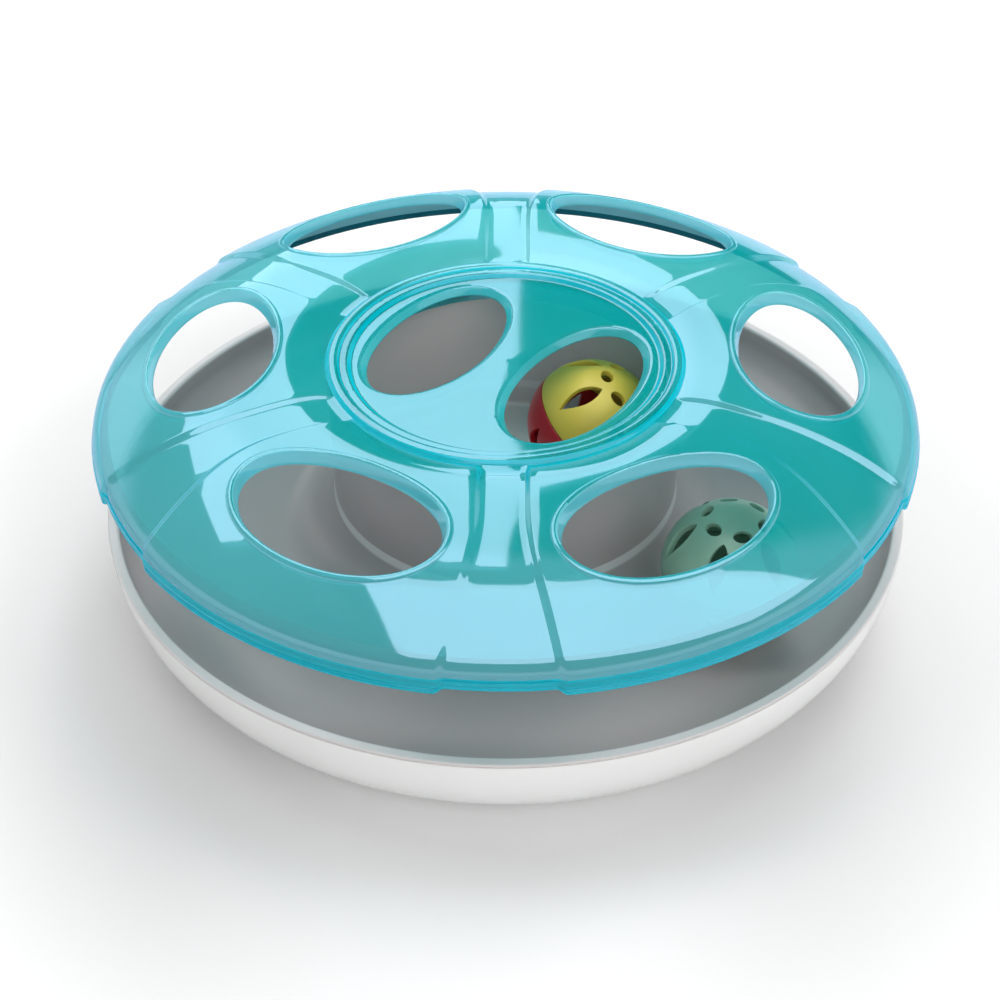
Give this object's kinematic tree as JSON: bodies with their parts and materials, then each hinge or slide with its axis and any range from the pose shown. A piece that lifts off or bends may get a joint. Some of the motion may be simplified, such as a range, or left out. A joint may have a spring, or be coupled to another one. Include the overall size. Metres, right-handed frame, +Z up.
{
  "type": "cat ball track toy",
  "caption": "Saucer-shaped cat toy: an open bowl with a ring track and centre well, slotted rattle balls and a see-through domed lid with paw windows, held on the hub.",
  "frame": {"origin": "on the table under the toy's axis, at the bottom of the foot pads", "axes": "+Z up along the toy's axis; -Y is the pictured front, +X its right"},
  "size_m": [0.247, 0.2452, 0.0854],
  "materials": {
    "white_shell": "smooth moulded, satin gloss",
    "grey_tray": "smooth moulded, soft gloss",
    "teal_lid": "clear tinted, polished",
    "mint_ball": "satin moulded",
    "yellow_ball": "satin moulded",
    "red_ball": "satin moulded",
    "bell_brass": "pressed sheet, bright",
    "screw_steel": "zinc plated",
    "rubber_pad": "matt non-slip"
  },
  "bodies": {
    "base": {"base_shell": "white_shell", "track_tray": "grey_tray", "foot_pad_1": "rubber_pad", "foot_pad_2": "rubber_pad", "foot_pad_3": "rubber_pad", "foot_pad_4": "rubber_pad", "tray_screw_1": "screw_steel", "tray_screw_2": "screw_steel", "tray_screw_3": "screw_steel", "tray_screw_4": "screw_steel"},
    "lid": {"lid": "teal_lid"},
    "track_bell": {"track_bell_upper": "bell_brass", "track_bell_lower": "bell_brass"},
    "track_ball": {"track_ball_upper": "mint_ball", "track_ball_lower": "mint_ball"},
    "track_pellet": {"track_bell_pellet": "screw_steel"},
    "well_bell": {"well_bell_upper": "bell_brass", "well_bell_lower": "bell_brass"},
    "well_ball": {"well_ball_yellow": "yellow_ball", "well_ball_red": "red_ball"},
    "well_pellet": {"well_bell_pellet": "screw_steel"}
  },
  "joints": [
    {"name": "lid_lift", "type": "slide", "parent": "base", "child": "lid", "axis": [0, 0, 1], "range_m": [0, 0.08]},
    {"name": "track_ball_orbit", "type": "hinge", "parent": "base", "child": "track_bell", "pos_m": [0, 0, 0.036], "axis": [0, 0, 1], "continuous": true},
    {"name": "track_ball_roll", "type": "hinge", "parent": "track_bell", "child": "track_ball", "pos_m": [0.06553, -0.04761, 0.0403], "axis": [0.809, -0.5878, 0], "continuous": true},
    {"name": "track_pellet_hop", "type": "slide", "parent": "track_bell", "child": "track_pellet", "axis": [0, 0, 1], "range_m": [0, 0.006]},
    {"name": "well_ball_orbit", "type": "hinge", "parent": "base", "child": "well_bell", "pos_m": [0, 0, 0.036], "axis": [0, 0, 1], "continuous": true},
    {"name": "well_ball_roll", "type": "hinge", "parent": "well_bell", "child": "well_ball", "pos_m": [0.02674, 0.01174, 0.0483], "axis": [0.9157, 0.4019, 0], "continuous": true},
    {"name": "well_pellet_hop", "type": "slide", "parent": "well_bell", "child": "well_pellet", "axis": [0, 0, 1], "range_m": [0, 0.006]}
  ],
  "couplings": [
    {"joint": "track_ball_roll", "follows": "track_ball_orbit", "ratio": -4.05},
    {"joint": "well_ball_roll", "follows": "well_ball_orbit", "ratio": -1.46}
  ]
}
